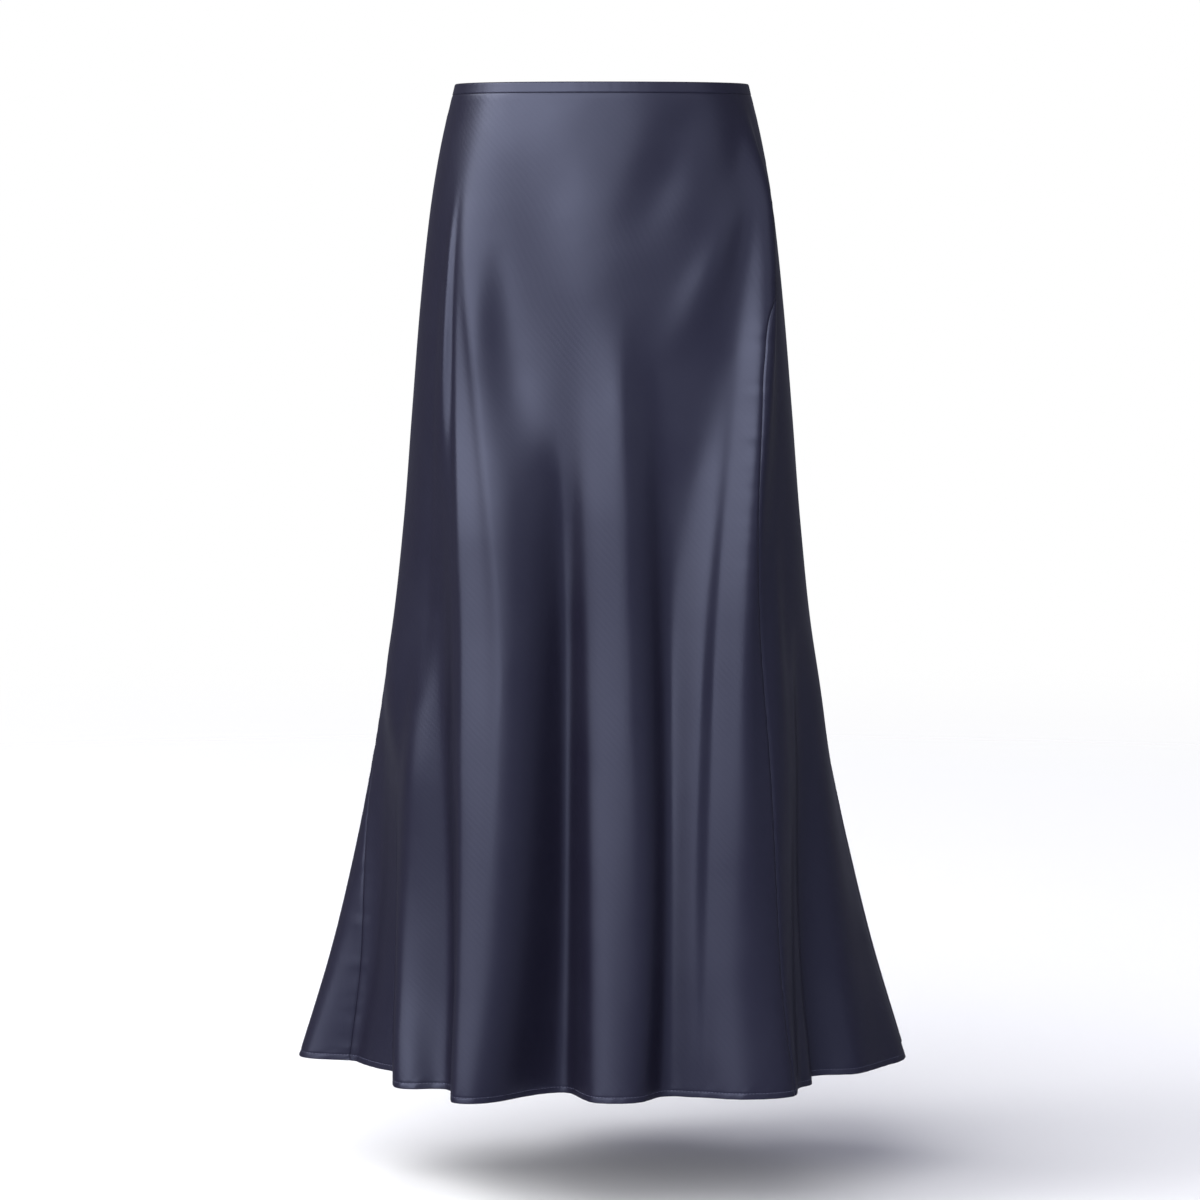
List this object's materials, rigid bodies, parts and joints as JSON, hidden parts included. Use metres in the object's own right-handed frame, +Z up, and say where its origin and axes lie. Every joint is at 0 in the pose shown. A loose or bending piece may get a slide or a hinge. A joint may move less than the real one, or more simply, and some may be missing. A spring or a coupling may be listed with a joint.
{
  "type": "slip skirt",
  "caption": "Ankle-length bias-cut satin slip skirt in its worn, hollow shape, with a narrow smooth waist band, side seams and a softly folded flared hem.",
  "frame": {"origin": "The middle of the waist opening, level with the top edge of the waist band.", "axes": "+Z up out of the waist, +X to the right seen from the front (the wearer's left), and the front faces -Y."},
  "size_m": [0.5662, 0.4383, 0.9],
  "materials": {
    "satin": "Dark navy polyester satin with a soft silvery gloss, cut on the bias.",
    "band_satin": "The same dark navy satin, folded over a soft elastic and stitched down."
  },
  "bodies": {
    "root": {"front_panel": "satin", "back_panel": "satin", "waist_band": "band_satin"}
  },
  "joints": []
}
